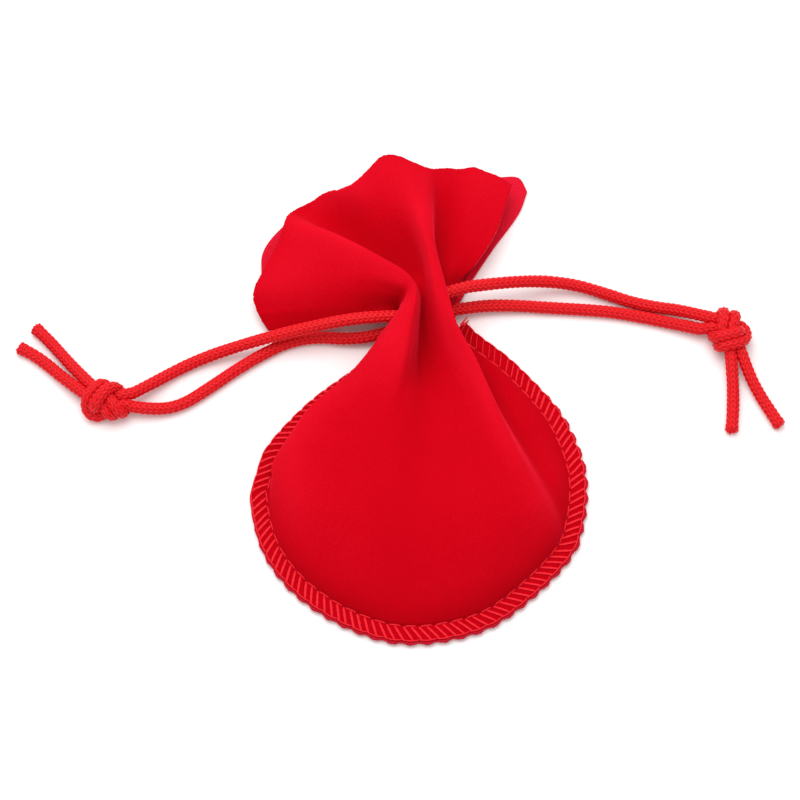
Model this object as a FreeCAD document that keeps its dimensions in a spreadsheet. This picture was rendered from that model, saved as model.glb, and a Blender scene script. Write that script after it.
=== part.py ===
import FreeCAD, Part
import Sketcher
import math
import os

# Drawstring gift pouch: two gourd-shaped cuts of velvet sewn together round the belly, with a
# mouth flap above the neck on each cut, and two drawstrings that cross the neck from both sides.
# Millimetres. +X right, +Y towards the mouth, +Z up; the pouch lies on its back cloth at Z = 0.
# The origin is the centre of the round belly.

doc = FreeCAD.newDocument("pouch")
sheet = doc.addObject("Spreadsheet::Sheet", "Sizes")

SIZES = {
    "belly_radius": 36.5,      # centre of the belly to the sewn edge
    "shoulder_angle": 40.0,    # from +Y, where the round edge turns into the straight shoulder
    "seam_end": 37.4,          # Y where the seam stops below the neck
    "cloth": 0.8,              # thickness of the velvet
    "seam_width": 3.4,         # needle line to edge
    "thread_band": 0.3,        # height of a looper thread's stitches
    "needle_band": 0.4,        # width of the needle thread's line
    "belly_height": 13.0,      # top of the puffed front over the table
    "hood_start": 14.0,        # Y where the neck rises out of the belly
    "hood_half": 25.0,         # half width of the neck there
    "gather_start": 36.6,      # Y where the cloth is fully gathered
    "gather_half": 6.8,        # half width there
    "neck_end": 46.2,          # Y where the neck ends and the mouth flaps start
    "neck_half": 6.2,          # half width of the neck there
    "neck_height": 12.2,       # top of the neck over the table
    "neck_side": 8.0,          # top of the neck's upright sides
    "hinge_gap": 0.6,          # neck to mouth flap
    "fan_centre": 42.0,        # Y that the mouth flaps fan out from
    "fan_radius": 35.5,        # fan centre to the cut edge of the mouth
    "fan_left": 84.0,          # angle of the fan's left side from +Y
    "fan_right": 35.0,         # angle of the fan's right side from +Y
    "flap_edge_height": 7.5,   # top of the front flap at the mouth
    "flap_mid_height": 11.4,   # top of the front flap half way out
    "cord": 2.5,               # diameter of the drawstrings
    "left_cord": 39.4,         # Y where the left drawstring crosses the neck
    "right_cord": 43.8,        # Y where the right drawstring crosses the neck
    "cord_high": 9.9,          # Z of the cords under the front cloth
    "cord_low": 2.4,           # Z of the cords over the back cloth
    "slit_half": 1.75,         # half the size of a slit that a cord passes through
    "slit_lift": 1.5,          # top of an upper slit over the cord's centre
    "slit_drop": 2.5,          # foot of an upper slit under the cord's centre
    "bight_reach": 9.8,        # how far a cord's bight stands out from the neck's middle
    "strand_start": 8.4,       # where the free strands start, from the neck's middle
    "knot_long": 10.4,
    "knot_wide": 9.6,
    "knot_thick": 7.2,
    "thread_tail": 0.5,        # diameter of the twisted thread ends
}

for row, (alias, number) in enumerate(SIZES.items(), start=1):
    sheet.set("A%d" % row, alias)
    sheet.set("B%d" % row, str(number))
    sheet.setAlias("B%d" % row, alias)
doc.recompute()


def size(expression):
    """Value in millimetres or degrees of an expression over the sheet."""
    value = sheet.evalExpression(expression)
    return float(getattr(value, "Value", value))


def named(expression):
    """Expression over the sheet's aliases, with each alias led by the sheet's name."""
    words = []
    word = ""
    for letter in expression + " ":
        if letter.isalnum() or letter in "_.":
            word += letter
            continue
        words.append("Sizes." + word if word in SIZES else word)
        words.append(letter)
        word = ""
    return "".join(words).strip()


def new_body(label):
    body = doc.addObject("PartDesign::Body", label)
    body.Label = label
    return body


def origin_plane(body, role):
    return next(item for item in body.Origin.OriginFeatures if item.Role == role)


def new_sketch(body, name, role, offset="0"):
    """Sketch on one of the body's origin planes, raised along the plane's normal."""
    sketch = body.newObject("Sketcher::SketchObject", name)
    sketch.AttachmentSupport = [(origin_plane(body, role), "")]
    sketch.MapMode = "FlatFace"
    sketch.setExpression("AttachmentOffset.Base.z", named(offset))
    return sketch


def arc_between(start, end, radius, side, large):
    """Arc of a given radius, made anticlockwise as sketches keep them. Side 1 runs it
    anticlockwise from start to end, side -1 clockwise; large takes the longer way round."""
    chord = (end - start).Length
    left = FreeCAD.Vector(start.y - end.y, end.x - start.x, 0) / chord
    rise = math.sqrt(radius ** 2 - chord ** 2 / 4)
    centre = (start + end) * 0.5 + left * rise * side * (-1 if large else 1)
    first, last = (start, end) if side == 1 else (end, start)
    first_angle = math.atan2(first.y - centre.y, first.x - centre.x)
    last_angle = math.atan2(last.y - centre.y, last.x - centre.x)
    if last_angle < first_angle:
        last_angle += 2 * math.pi
    circle = Part.Circle(centre, FreeCAD.Vector(0, 0, 1), radius)
    return Part.ArcOfCircle(circle, first_angle, last_angle)


def draw(sketch, corners):
    """Closed outline. A corner is (x, y) or (x, y, radius, side, large): the last three belong
    to the arc that leaves the corner. All sizes are expressions over the sheet."""
    points = [FreeCAD.Vector(size(corner[0]), size(corner[1]), 0) for corner in corners]
    count = len(corners)
    ends = []
    for index, corner in enumerate(corners):
        start = points[index]
        end = points[(index + 1) % count]
        if len(corner) == 2:
            sketch.addGeometry(Part.LineSegment(start, end), False)
            ends.append((1, 2))
        else:
            sketch.addGeometry(arc_between(start, end, size(corner[2]), corner[3], corner[4]), False)
            ends.append((1, 2) if corner[3] == 1 else (2, 1))
    for index, corner in enumerate(corners):
        after = (index + 1) % count
        sketch.addConstraint(
            Sketcher.Constraint("Coincident", index, ends[index][1], after, ends[after][0]))
        for axis, line, text in (("DistanceX", -2, corner[0]), ("DistanceY", -1, corner[1])):
            value = size(text)
            if abs(value) < 1e-9:
                sketch.addConstraint(
                    Sketcher.Constraint("PointOnObject", index, ends[index][0], line))
                continue
            number = sketch.addConstraint(
                Sketcher.Constraint(axis, index, ends[index][0], value))
            sketch.setExpression("Constraints[%d]" % number, named(text))
        if len(corner) > 2:
            number = sketch.addConstraint(
                Sketcher.Constraint("Radius", index, size(corner[2])))
            sketch.setExpression("Constraints[%d]" % number, named(corner[2]))


def pad(body, name, sketch, length):
    feature = body.newObject("PartDesign::Pad", name)
    feature.Profile = sketch
    feature.setExpression("Length", named(length))


def check_cut(body, feature):
    """A cut that misses the solid shows no error of its own, so its volume is compared."""
    doc.recompute()
    if feature.BaseFeature.Shape.Volume - feature.Shape.Volume <= 0.01:
        raise RuntimeError("%s in %s cuts nothing" % (feature.Label, body.Label))


def loft(body, kind, name, sketches):
    feature = body.newObject(kind, name)
    feature.Profile = sketches[0]
    feature.Sections = sketches[1:]
    feature.Ruled = True
    return feature


def turned(body, kind, name, sketch, axis_sketch, axis, angle="360"):
    feature = body.newObject(kind, name)
    feature.Profile = sketch
    feature.ReferenceAxis = (axis_sketch, [axis])
    feature.setExpression("Angle", named(angle))
    return feature


# The sewn outline, drawn in from the edge by "inset": x and y of the seam's end and of the
# point where the round edge turns into the straight shoulder.
def shoulder(inset):
    radius = "(belly_radius - %s)" % inset
    turn_x = radius + " * sin(shoulder_angle * 1deg)"
    turn_y = radius + " * cos(shoulder_angle * 1deg)"
    run = "(seam_end - %s) / tan(shoulder_angle * 1deg)" % turn_y
    return turn_x, turn_y, "%s - %s" % (turn_x, run), radius


def mirrored(expression):
    return "-(%s)" % expression


def belly_outline(inset):
    turn_x, turn_y, end_x, radius = shoulder(inset)
    return [
        (end_x, "seam_end"),
        (mirrored(end_x), "seam_end"),
        (mirrored(turn_x), turn_y, radius, 1, True),
        (turn_x, turn_y),
    ]


def ring_outline(outer, inner):
    """Ribbon along the seam between two insets, open at the neck."""
    outer_x, outer_y, outer_end, outer_radius = shoulder(outer)
    inner_x, inner_y, inner_end, inner_radius = shoulder(inner)
    return [
        (mirrored(outer_end), "seam_end"),
        (mirrored(outer_x), outer_y, outer_radius, 1, True),
        (outer_x, outer_y),
        (outer_end, "seam_end"),
        (inner_end, "seam_end"),
        (inner_x, inner_y, inner_radius, -1, True),
        (mirrored(inner_x), inner_y),
        (mirrored(inner_end), "seam_end"),
    ]


FAN_CORNERS = {
    "left_x": "-fan_radius * sin(fan_left * 1deg)",
    "left_y": "fan_centre + fan_radius * cos(fan_left * 1deg)",
    "right_x": "fan_radius * sin(fan_right * 1deg)",
    "right_y": "fan_centre + fan_radius * cos(fan_right * 1deg)",
}


# Back cloth: belly, neck and mouth flap are one flat cut.
def make_back_cloth():
    body = new_body("back_cloth")
    belly = new_sketch(body, "back_belly", "XY_Plane")
    draw(belly, belly_outline("0"))
    pad(body, "belly_cut", belly, "cloth")
    mouth = new_sketch(body, "back_mouth", "XY_Plane")
    draw(mouth, [
        ("neck_half", "gather_start"),
        ("neck_half", "neck_end"),
        (FAN_CORNERS["right_x"], FAN_CORNERS["right_y"], "fan_radius", 1, False),
        (FAN_CORNERS["left_x"], FAN_CORNERS["left_y"]),
        ("-neck_half", "neck_end - 1"),
        ("-neck_half", "gather_start"),
    ])
    pad(body, "mouth_cut", mouth, "cloth")
    rebate = new_sketch(body, "looper_rebate", "XY_Plane")
    draw(rebate, ring_outline("0", "seam_width - needle_band"))
    pocket = body.newObject("PartDesign::Pocket", "lower_looper_rebate")
    pocket.Profile = rebate
    pocket.setExpression("Length", named("thread_band"))
    pocket.Reversed = True
    check_cut(body, pocket)
    return body


def arch(body, name, along, half, side, height, inset):
    """Arch across the pouch at Y = along; inset draws it in by the cloth."""
    rise = "(%s - %s)" % (height, side)
    half = "(%s - %s)" % (half, inset)
    radius = "(%s ^ 2 + %s ^ 2) / (2 * %s)" % (half, rise, rise)
    foot = "cloth"
    sketch = new_sketch(body, name, "XZ_Plane", "-(%s)" % along)
    draw(sketch, [
        (mirrored(half), foot),
        (half, foot),
        (half, "%s - %s" % (side, inset), radius, 1, False),
        (mirrored(half), "%s - %s" % (side, inset)),
    ])
    return sketch


def hood_sections(body, tag, inset, past):
    """The neck's three arches; past carries the last one on beyond the neck's end."""
    return [
        arch(body, tag + "_root", "hood_start", "hood_half", "(cloth * 3)", "neck_height", inset),
        arch(body, tag + "_gather", "gather_start", "gather_half", "neck_side", "neck_height", inset),
        arch(body, tag + "_end", "neck_end + " + past, "neck_half", "neck_side", "neck_height", inset),
    ]


def dome_profile(body, name, inset):
    """Half section of the puffed belly, a shallow cap over the needle line."""
    foot = "(belly_radius - seam_width - needle_band - %s)" % inset
    top = "(belly_height - %s)" % inset
    rise = "(%s - cloth)" % top
    sketch = new_sketch(body, name, "YZ_Plane")
    draw(sketch, [
        ("0", "cloth"),
        (foot, "cloth", "(%s ^ 2 + %s ^ 2) / (2 * %s)" % (foot, rise, rise), 1, False),
        ("0", top),
    ])
    return sketch


def slit(body, name, along, low, high):
    """Slit through both sides of the neck for one crossing of a drawstring."""
    sketch = new_sketch(body, name, "YZ_Plane")
    draw(sketch, [
        ("%s - slit_half" % along, low),
        ("%s + slit_half" % along, low),
        ("%s + slit_half" % along, high),
        ("%s - slit_half" % along, high),
    ])
    pocket = body.newObject("PartDesign::Pocket", name + "_cut")
    pocket.Profile = sketch
    pocket.Type = "ThroughAll"
    pocket.Midplane = True
    check_cut(body, pocket)


# Front cloth below the mouth: seam allowance, puffed belly and gathered neck in one shell.
def make_front_cloth():
    body = new_body("front_cloth")
    flange = new_sketch(body, "front_flange", "XY_Plane", "cloth")
    draw(flange, belly_outline("0"))
    pad(body, "seam_allowance", flange, "cloth")
    dome = dome_profile(body, "dome_outside", "0")
    turned(body, "PartDesign::Revolution", "dome", dome, dome, "V_Axis")
    loft(body, "PartDesign::AdditiveLoft", "hood", hood_sections(body, "outside", "0", "0"))
    doc.recompute()
    hollow = dome_profile(body, "dome_inside", "cloth")
    check_cut(body, turned(body, "PartDesign::Groove", "dome_hollow", hollow, hollow, "V_Axis"))
    inside = hood_sections(body, "inside", "cloth", "1")
    check_cut(body, loft(body, "PartDesign::SubtractiveLoft", "hood_hollow", inside))
    for side in ("left", "right"):
        slit(body, side + "_upper_slit", side + "_cord",
             "cord_high - slit_drop", "cord_high + slit_lift")
        slit(body, side + "_lower_slit", side + "_cord", "0", "cord_low + slit_half")
    return body


# Front mouth flap: a fan that stands off the back flap and turns up about the neck's end.
def make_front_mouth_flap():
    body = new_body("front_mouth_flap")
    profile = new_sketch(body, "flap_profile", "YZ_Plane")
    chord = "sqrt((fan_radius / 2) ^ 2 + (flap_mid_height - flap_edge_height) ^ 2)"
    bend = "%s ^ 2 / (2 * (flap_mid_height - flap_edge_height)) * 2" % chord
    near = "fan_centre + neck_half / 2"
    edge = "fan_centre + fan_radius"
    draw(profile, [
        (near, "neck_height - cloth"),
        (edge, "flap_edge_height - cloth"),
        (edge, "flap_edge_height", bend, 1, False),
        (near, "neck_height"),
    ])
    axis = new_sketch(body, "fan_axis", "YZ_Plane")
    axis.addGeometry(
        Part.LineSegment(FreeCAD.Vector(size("fan_centre"), 0, 0),
                         FreeCAD.Vector(size("fan_centre"), size("neck_height"), 0)), False)
    for end in (1, 2):
        number = axis.addConstraint(Sketcher.Constraint("DistanceX", 0, end, size("fan_centre")))
        axis.setExpression("Constraints[%d]" % number, named("fan_centre"))
    turned(body, "PartDesign::Revolution", "left_fan", profile, axis, "Edge1", "fan_left")
    right = turned(body, "PartDesign::Revolution", "right_fan", profile, axis, "Edge1", "fan_right")
    right.Reversed = True
    doc.recompute()
    root = new_sketch(body, "flap_root", "XY_Plane")
    draw(root, [
        ("-fan_radius - 5", "0"),
        ("fan_radius", "0"),
        ("fan_radius", "neck_end + hinge_gap"),
        ("-fan_radius - 5", "neck_end + hinge_gap"),
    ])
    pocket = body.newObject("PartDesign::Pocket", "neck_clearance")
    pocket.Profile = root
    pocket.Type = "ThroughAll"
    pocket.Reversed = True
    check_cut(body, pocket)
    return body


# Overlock seam: each thread is a band with the outer size of its stitches.
def make_seam_threads():
    bands = (
        ("upper_looper_thread", "cloth * 2", "0", "seam_width - needle_band"),
        ("lower_looper_thread", "0", "0", "seam_width - needle_band"),
        ("needle_thread", "cloth * 2", "seam_width - needle_band", "seam_width"),
    )
    made = []
    for label, height, outer, inner in bands:
        body = new_body(label)
        band = new_sketch(body, label + "_band", "XY_Plane", height)
        draw(band, ring_outline("(%s)" % outer, "(%s)" % inner))
        pad(body, label + "_stitches", band, "thread_band")
        made.append(body)
    return made


def tube_path(points):
    """Straight runs joined by tangent arcs, each as large as its two runs allow."""
    share = 0.45
    edges = []
    radii = []
    start = points[0]
    for before, corner, after in zip(points, points[1:], points[2:]):
        inward = corner - before
        outward = after - corner
        cutback = share * min(inward.Length, outward.Length)
        turn = inward.getAngle(outward)
        radii.append(cutback / math.tan(turn / 2))
        inward.normalize()
        outward.normalize()
        first = corner - inward * cutback
        last = corner + outward * cutback
        bisector = (outward - inward).normalize()
        centre = corner + bisector * (radii[-1] / math.cos(turn / 2))
        crown = centre - bisector * radii[-1]
        edges.append(Part.LineSegment(start, first).toShape())
        edges.append(Part.Arc(first, crown, last).toShape())
        start = last
    edges.append(Part.LineSegment(start, points[-1]).toShape())
    return Part.Wire(edges), radii


def make_tube(label, route, diameter):
    """Round cord along a route; its volume is compared with section times length."""
    points = [FreeCAD.Vector(*point) for point in route]
    path, radii = tube_path(points)
    start = points[0]
    section = Part.Wire(Part.makeCircle(diameter / 2, start, points[1] - start))
    solid = path.makePipeShell([section], True, False)
    expected = math.pi * diameter ** 2 / 4 * path.Length
    if abs(solid.Volume - expected) > 0.01 * expected:
        raise RuntimeError("%s has volume %.2f, not %.2f" % (label, solid.Volume, expected))
    tube = doc.addObject("Part::Feature", label)
    tube.Label = label
    tube.Shape = solid
    print("%s: length %.1f, radii %s" % (label, path.Length, [round(r, 1) for r in radii]))
    return tube


def neck_loop(side):
    """The stretch of a drawstring that the neck holds: in under the front cloth, round the
    bight on the far side and back over the back cloth."""
    sign = -1 if side == "left" else 1
    along = size(side + "_cord")
    near = sign * size("strand_start")
    far = -sign * size("bight_reach")
    high = size("cord_high")
    low = size("cord_low")
    return [(near, along, high), (far, along, high), (far, along, low), (near, along, low)]


def strands():
    """Routes of the free strands, from the neck to the knot, and of the cut tails."""
    start = size("strand_start")
    high = size("cord_high")
    low = size("cord_low")
    left = size("left_cord")
    right = size("right_cord")
    rest = size("cord / 2") + 0.05
    return {
        "left_upper_strand": [
            (-start, left, high), (-15.2, 39.3, 9.8), (-21.9, 38.2, 8.6), (-28.4, 36.6, 6.6),
            (-34.8, 34.7, 4.5), (-41.0, 32.5, 2.7), (-47.2, 30.2, 1.5), (-52.8, 27.7, 1.5),
            (-57.8, 25.2, 2.7), (-62.4, 22.8, 4.6)],
        "left_lower_strand": [
            (-start, left, low), (-15.2, 39.5, 2.45), (-21.9, 39.2, 2.1), (-28.3, 37.0, 1.5),
            (-34.2, 33.3, rest), (-39.7, 28.7, rest), (-45.3, 24.4, rest), (-51.0, 20.9, 1.35),
            (-56.6, 19.1, 1.9), (-62.2, 19.3, 2.8)],
        "right_upper_strand": [
            (start, right, high), (15.2, 43.9, 9.8), (21.8, 45.2, 8.4), (28.2, 46.9, 6.1),
            (34.8, 47.6, 3.7), (41.2, 46.6, 2.0), (47.0, 44.7, rest), (52.4, 43.2, 1.8),
            (57.8, 41.4, 3.2), (63.4, 38.9, 4.9)],
        "right_lower_strand": [
            (start, right, low), (15.2, 43.7, 2.35), (22.0, 43.4, 1.9), (28.8, 42.9, 1.4),
            (35.6, 42.7, rest), (42.4, 42.1, rest), (49.0, 40.8, rest), (55.6, 38.9, 1.5),
            (62.4, 36.8, 2.4)],
        "left_upper_tail": [
            (-68.8, 24.0, 4.3), (-73.2, 28.2, 2.6), (-77.6, 32.8, rest), (-81.2, 36.6, rest),
            (-84.2, 38.8, rest)],
        "left_lower_tail": [
            (-70.8, 21.7, 2.9), (-75.4, 25.2, 1.8), (-80.4, 29.2, rest), (-84.2, 32.0, rest),
            (-87.2, 33.4, rest)],
        "right_inner_tail": [
            (66.9, 32.2, 3.4), (67.7, 27.0, 2.2), (68.1, 21.4, rest), (68.0, 16.8, rest),
            (67.6, 13.4, rest)],
        "right_outer_tail": [
            (70.2, 32.6, 3.2), (72.0, 27.0, 2.0), (74.2, 21.6, rest), (76.4, 17.6, rest),
            (78.2, 14.8, rest)],
    }


def make_knot(label, centre, turn):
    """Closed solid of a tightened knot's outer shape, its long side turned about Z."""
    knot = doc.addObject("Part::Ellipsoid", label)
    knot.Label = label
    knot.setExpression("Radius1", named("knot_thick / 2"))
    knot.setExpression("Radius2", named("knot_long / 2"))
    knot.setExpression("Radius3", named("knot_wide / 2"))
    knot.Placement = FreeCAD.Placement(
        FreeCAD.Vector(*centre), FreeCAD.Rotation(FreeCAD.Vector(0, 0, 1), turn))
    return knot


def make_thread_ends():
    """Twisted ends of the three seam threads, left long where the seam stops at the neck."""
    diameter = size("thread_tail")
    lift = diameter / 2 + 0.05
    end_x = size(shoulder("seam_width / 2")[2])
    end_y = size("seam_end")
    route = [
        (end_x, end_y + 0.1, lift), (end_x + 0.9, end_y + 1.9, lift),
        (end_x + 1.2, end_y + 3.9, lift), (end_x + 0.8, end_y + 5.6, lift)]
    return make_tube("seam_thread_ends", route, diameter)


parts = [make_back_cloth(), make_front_cloth(), make_front_mouth_flap()]
parts += make_seam_threads()
parts.append(make_thread_ends())
for name, route in strands().items():
    parts.append(make_tube(name, route, size("cord")))
for side in ("left", "right"):
    parts.append(make_tube(side + "_neck_loop", neck_loop(side), size("cord")))
KNOT_LIFT = size("knot_thick / 2") + 0.05
parts.append(make_knot("left_knot", (-66.6, 21.2, KNOT_LIFT), 30))
parts.append(make_knot("right_knot", (67.0, 36.0, KNOT_LIFT), 100))

doc.recompute()
for item in doc.Objects:
    if "Invalid" in item.State or "Error" in item.State:
        raise RuntimeError("%s failed" % item.Label)
for part in parts:
    if part.Shape.isNull() or not part.Shape.isValid() or len(part.Shape.Solids) != 1:
        raise RuntimeError("%s isn't one valid solid" % part.Label)
os.makedirs("parts", exist_ok=True)
for part in parts:
    box = part.Shape.BoundBox
    print("%-20s volume %9.1f  x %6.1f %6.1f  y %6.1f %6.1f  z %5.2f %5.2f" % (
        part.Label, part.Shape.Volume, box.XMin, box.XMax, box.YMin, box.YMax, box.ZMin, box.ZMax))
    part.Shape.exportStep("parts/%s.step" % part.Label)
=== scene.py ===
import math
import random

import bmesh
import bpy
import numpy as np
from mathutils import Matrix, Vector


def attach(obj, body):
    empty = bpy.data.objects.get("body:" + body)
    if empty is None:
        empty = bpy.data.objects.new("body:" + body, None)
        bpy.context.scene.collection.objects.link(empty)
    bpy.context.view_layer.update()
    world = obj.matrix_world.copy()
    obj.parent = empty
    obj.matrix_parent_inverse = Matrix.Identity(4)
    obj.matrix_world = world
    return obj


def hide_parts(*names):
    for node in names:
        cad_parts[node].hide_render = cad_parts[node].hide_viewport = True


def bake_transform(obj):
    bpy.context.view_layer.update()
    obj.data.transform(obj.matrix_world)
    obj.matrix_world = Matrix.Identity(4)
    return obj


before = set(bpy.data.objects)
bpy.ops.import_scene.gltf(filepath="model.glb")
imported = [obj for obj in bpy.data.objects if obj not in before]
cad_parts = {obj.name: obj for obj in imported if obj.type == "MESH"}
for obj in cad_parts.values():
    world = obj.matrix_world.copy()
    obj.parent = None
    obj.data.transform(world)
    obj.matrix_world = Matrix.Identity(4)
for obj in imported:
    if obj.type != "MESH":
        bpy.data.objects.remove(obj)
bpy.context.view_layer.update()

# The drawstring gift pouch's looks. Lengths below are in millimetres unless a name ends in _M;
# meshes are made in metres.
MM = 0.001
CLOTH = 0.7           # thickness of the velvet
CORD = 2.5            # diameter of the drawstrings
SEAM_WIDTH = 3.4      # needle line to edge
SEAM_HEIGHT = 1.75    # top of the two cloths where the seam lies flat
STITCH = 3.3          # length of one overlock stitch
NEEDLE_THREAD = 0.3   # diameter of the needle thread
LOOPER_THREAD = 0.56  # width of the bulky looper threads
BAR_LEAN = 2.3        # how far the overlock's slanted bars lean along the seam
NECK = (2, 41)        # middle of the gathered neck, seen from above
# Painted light and shade on the velvet: a value worked out from the cloth's shape darkens or lightens its
# colour.
PAINTED_LIGHT_TOWARDS = np.array([-0.6, 0.8, 0.0])   # way the cloth faces where the painted light is brightest
PAINTED_SHADING_LEVEL = 0.38      # painted shading of flat cloth; 0 is darkest, 1 brightest
PAINTED_SHADING_FACING = 0.11     # how much the way the cloth faces counts in the painted light and shade
PAINTED_SHADING_RIDGES = 0.21     # how much ridges (painted highlight) and hollows (painted shade) count
PAINTED_HIGHLIGHT_FLAP = 0.16       # how much painted highlight the mouth's flap gets at its edge
RIDGE_HEIGHT = 2.5    # a ridge this far above its surroundings counts in full
DEEPEST_HOLLOW = -1.6   # hollows count for no more than this many ridge heights
FLAP_START = 14       # distance from the neck where the flap's painted highlight starts
FLAP_REACH = 20       # distance over which it does
SEED = 7
CAMERA_TARGET = (-3.9, 21.5, 0.0)
CAMERA_ELEVATION = 65
CAMERA_DISTANCE_M = 0.7
FIELD_WIDTH_M = 0.1736


# ---------------------------------------------------------------- curves and meshes

def through(points, spans):
    """Centripetal Catmull-Rom through rows of points, spans[i] steps between rows i and i + 1.
    points has shape (rows, columns, 3); each column is a curve of its own."""
    points = np.asarray(points, float)
    first = 2 * points[:1] - points[1:2]
    last = 2 * points[-1:] - points[-2:-1]
    padded = np.concatenate([first, points, last])
    out = []
    for index, steps in enumerate(spans):
        p0, p1, p2, p3 = padded[index:index + 4]
        t1 = np.sqrt(np.linalg.norm(p1 - p0, axis=-1)) + 1e-9
        t2 = t1 + np.sqrt(np.linalg.norm(p2 - p1, axis=-1)) + 1e-9
        t3 = t2 + np.sqrt(np.linalg.norm(p3 - p2, axis=-1)) + 1e-9
        t0 = np.zeros_like(t1)
        for step in range(steps):
            t = t1 + (t2 - t1) * step / steps

            def mix(a, b, ta, tb):
                share = ((t - ta) / (tb - ta))[..., None]
                return a * (1 - share) + b * share

            a1, a2, a3 = mix(p0, p1, t0, t1), mix(p1, p2, t1, t2), mix(p2, p3, t2, t3)
            b1, b2 = mix(a1, a2, t0, t2), mix(a2, a3, t1, t3)
            out.append(mix(b1, b2, t1, t2))
    out.append(points[-1])
    return np.array(out)


def curve_through(points, steps):
    """One smooth curve through a list of points."""
    rows = np.asarray(points, float)[:, None, :]
    return through(rows, [steps] * (len(rows) - 1))[:, 0]


def new_mesh(name, vertices, quads, material, smooth=True, materials=(), indices=None):
    mesh = bpy.data.meshes.new(name)
    vertices = np.asarray(vertices, np.float32) * MM
    quads = np.asarray(quads, np.int32)
    sides = quads.shape[1]
    mesh.vertices.add(len(vertices))
    mesh.vertices.foreach_set("co", vertices.ravel())
    mesh.loops.add(quads.size)
    mesh.loops.foreach_set("vertex_index", quads.ravel())
    mesh.polygons.add(len(quads))
    mesh.polygons.foreach_set("loop_start", np.arange(0, quads.size, sides, dtype=np.int32))
    mesh.polygons.foreach_set("loop_total", np.full(len(quads), sides, np.int32))
    mesh.polygons.foreach_set("use_smooth", np.full(len(quads), smooth))
    mesh.materials.append(material)
    for extra in materials:
        mesh.materials.append(extra)
    if indices is not None:
        mesh.polygons.foreach_set("material_index", np.asarray(indices, np.int32))
    mesh.update(calc_edges=True)
    mesh.validate()
    piece = bpy.data.objects.new(name, mesh)
    bpy.context.scene.collection.objects.link(piece)
    return piece


def grid_quads(rows, columns, offset=0, closed=False):
    """Quads of a grid whose vertex (i, j) has the number i * columns + j."""
    i, j = np.meshgrid(np.arange(rows - 1), np.arange(columns if closed else columns - 1),
                       indexing="ij")
    here = i * columns + j
    beside = i * columns + (j + 1) % columns
    quads = np.stack([here, beside, beside + columns, here + columns], axis=-1)
    return quads.reshape(-1, 4) + offset


def unit(vectors):
    return vectors / np.maximum(np.linalg.norm(vectors, axis=-1, keepdims=True), 1e-9)


def grid_normals(grid):
    across = np.gradient(grid, axis=1)
    along = np.gradient(grid, axis=0)
    return unit(np.cross(across, along))


def neck_distance(points):
    """Distance from the middle of the neck, seen from above."""
    return np.hypot(points[..., 0] - NECK[0], points[..., 1] - NECK[1])


def wave_noise(x, y, scale, seed):
    """Smooth random height from a few crossed waves, about -1 to 1."""
    rng = np.random.default_rng(seed)
    total = np.zeros_like(x)
    waves = 9
    for _ in range(waves):
        angle = rng.uniform(0, 2 * math.pi)
        length = scale * rng.uniform(0.6, 1.7)
        phase = rng.uniform(0, 2 * math.pi)
        reach = (x * math.cos(angle) + y * math.sin(angle)) * 2 * math.pi / length
        total += np.sin(reach + phase)
    return total / math.sqrt(waves)


# ---------------------------------------------------------------- materials

def new_material(name):
    material = bpy.data.materials.new(name)
    material.use_nodes = True
    tree = material.node_tree
    return material, tree, tree.nodes["Principled BSDF"]


def node(tree, kind, **values):
    made = tree.nodes.new(kind)
    for key, value in values.items():
        if key in made.inputs.keys():
            made.inputs[key].default_value = value
        else:
            setattr(made, key, value)
    return made


def place(tree, scale=1000.0):
    """Object coordinates in millimetres."""
    coordinates = node(tree, "ShaderNodeTexCoord")
    mapping = node(tree, "ShaderNodeMapping")
    mapping.inputs["Scale"].default_value = (scale, scale, scale)
    tree.links.new(coordinates.outputs["Object"], mapping.inputs["Vector"])
    return mapping.outputs["Vector"]


def colour_ramp(tree, factor, stops):
    ramp = node(tree, "ShaderNodeValToRGB")
    elements = ramp.color_ramp.elements
    for element, (position, colour) in zip(elements, (stops[0], stops[-1])):
        element.position = position
        element.color = (*colour, 1)
    for position, colour in stops[1:-1]:
        added = elements.new(position)
        added.color = (*colour, 1)
    tree.links.new(factor, ramp.inputs["Fac"])
    return ramp.outputs["Color"]


def bump(tree, height, strength, distance, under=None):
    made = node(tree, "ShaderNodeBump")
    made.inputs["Strength"].default_value = strength
    made.inputs["Distance"].default_value = distance
    tree.links.new(height, made.inputs["Height"])
    if under is not None:
        tree.links.new(under, made.inputs["Normal"])
    return made.outputs["Normal"]


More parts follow.
